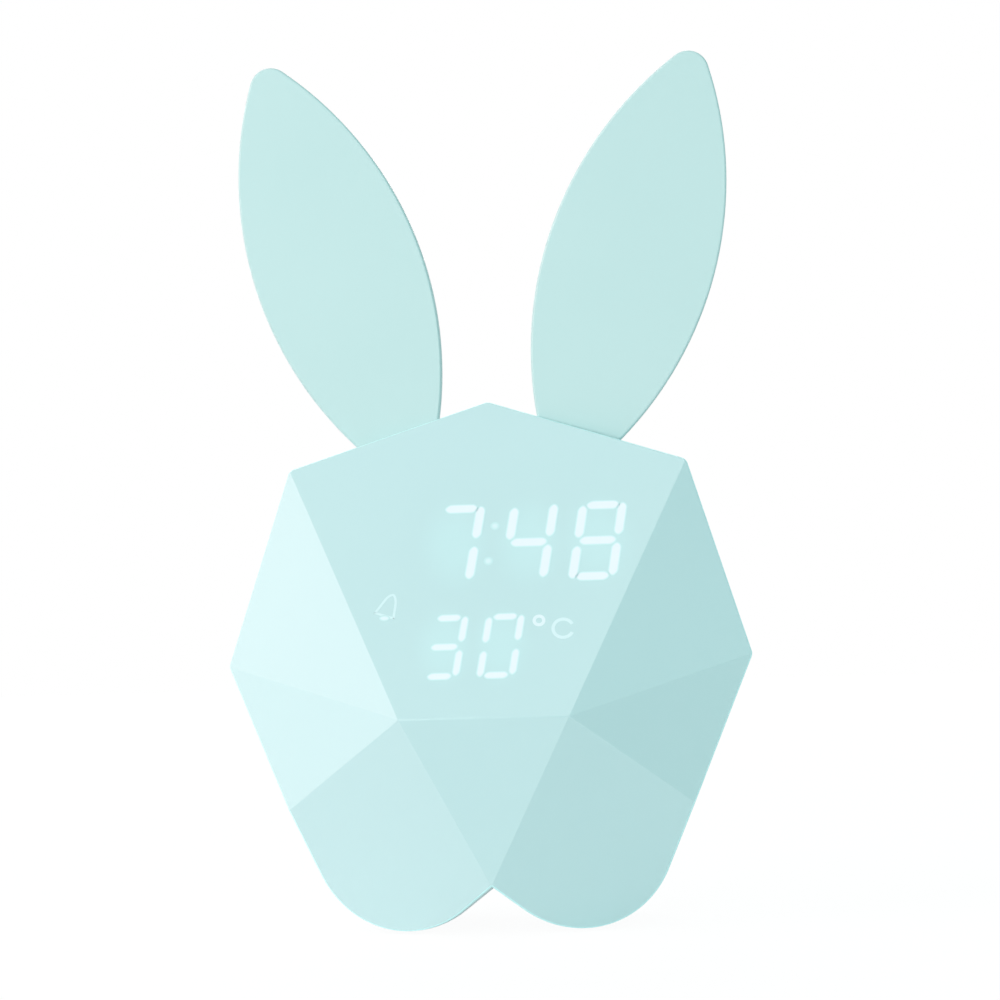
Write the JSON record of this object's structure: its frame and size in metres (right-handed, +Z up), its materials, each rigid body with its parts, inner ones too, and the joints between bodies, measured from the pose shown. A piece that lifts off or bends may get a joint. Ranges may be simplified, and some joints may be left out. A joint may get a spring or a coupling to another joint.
{
  "type": "kids alarm clock",
  "caption": "Faceted rabbit-head alarm clock and night light: translucent face with digits shining through, two flat ears, lobed feet, back buttons, slide switch and charging socket.",
  "frame": {"origin": "on the ground under the middle of the clock's box", "axes": "+Z up, -Y out of the face, +X to the viewer's right"},
  "size_m": [0.1134, 0.0692, 0.1914],
  "materials": {
    "shell": "matte translucent mint ABS",
    "ear": "matte mint ABS",
    "foot_rubber": "soft silicone",
    "screw_steel": "zinc-plated",
    "film": "thin diffusing film",
    "white_plastic": "white light-box ABS",
    "led": "resin",
    "board": "solder mask",
    "white_board": "white solder mask",
    "chip": "moulded epoxy",
    "ribbon": "flat film cable",
    "socket": "nylon",
    "copper": "copper foil",
    "wire": "PVC insulation",
    "metal_can": "tinned sheet",
    "switch_plastic": "moulded",
    "button": "matte white-mint ABS",
    "cell_wrap": "shrink-wrapped can",
    "strap": "moulded",
    "basket": "black pressed steel",
    "paper": "paper cone",
    "magnet": "plated",
    "gasket": "foam"
  },
  "bodies": {
    "case": {"battery_cell": "cell_wrap", "battery_lead": "wire", "battery_strap_screws": "screw_steel", "battery_straps": "strap", "case_screws": "screw_steel", "clock_crystal": "metal_can", "controller_chip": "chip", "display_board": "board", "display_driver_chip": "chip", "display_film": "film", "display_leds": "led", "display_reflector": "white_plastic", "display_screws": "screw_steel", "ear_left": "ear", "ear_right": "ear", "ear_screws": "screw_steel", "foot_pad_left": "foot_rubber", "foot_pad_right": "foot_rubber", "front_shell": "shell", "lead_connectors": "socket", "light_board": "white_board", "light_board_screws": "screw_steel", "light_lead": "wire", "main_board": "board", "main_board_screws": "screw_steel", "night_light_leds": "led", "power_switch": "metal_can", "rear_shell": "shell", "ribbon_cable": "ribbon", "ribbon_connectors": "socket", "speaker_basket": "basket", "speaker_clamp": "white_plastic", "speaker_cone": "paper", "speaker_gasket": "gasket", "speaker_lead": "wire", "speaker_magnet": "magnet", "speaker_screws": "screw_steel", "storage_capacitor": "metal_can", "tact_switches": "switch_plastic", "temperature_sensor": "chip", "touch_lead": "wire", "touch_plate": "copper", "usb_socket": "metal_can"},
    "minus_button": {"button_minus": "button", "switch_stem_minus": "switch_plastic"},
    "mode_button": {"button_mode": "button", "switch_stem_mode": "switch_plastic"},
    "alarm_button": {"button_alarm": "button", "switch_stem_alarm": "switch_plastic"},
    "plus_button": {"button_plus": "button", "switch_stem_plus": "switch_plastic"},
    "power_slider": {"power_knob": "button", "power_switch_lever": "switch_plastic"}
  },
  "joints": [
    {"name": "minus_press", "type": "slide", "parent": "case", "child": "minus_button", "axis": [0, -0.9781, 0.2079], "range_m": [0, 0.0005], "stiffness_N_per_m": 300},
    {"name": "mode_press", "type": "slide", "parent": "case", "child": "mode_button", "axis": [0, -0.9781, 0.2079], "range_m": [0, 0.0005], "stiffness_N_per_m": 300},
    {"name": "alarm_press", "type": "slide", "parent": "case", "child": "alarm_button", "axis": [0, -0.9781, 0.2079], "range_m": [0, 0.0005], "stiffness_N_per_m": 300},
    {"name": "plus_press", "type": "slide", "parent": "case", "child": "plus_button", "axis": [0, -0.9781, 0.2079], "range_m": [0, 0.0005], "stiffness_N_per_m": 300},
    {"name": "power_slide", "type": "slide", "parent": "case", "child": "power_slider", "axis": [-1, 0, 0], "range_m": [0, 0.003]}
  ]
}
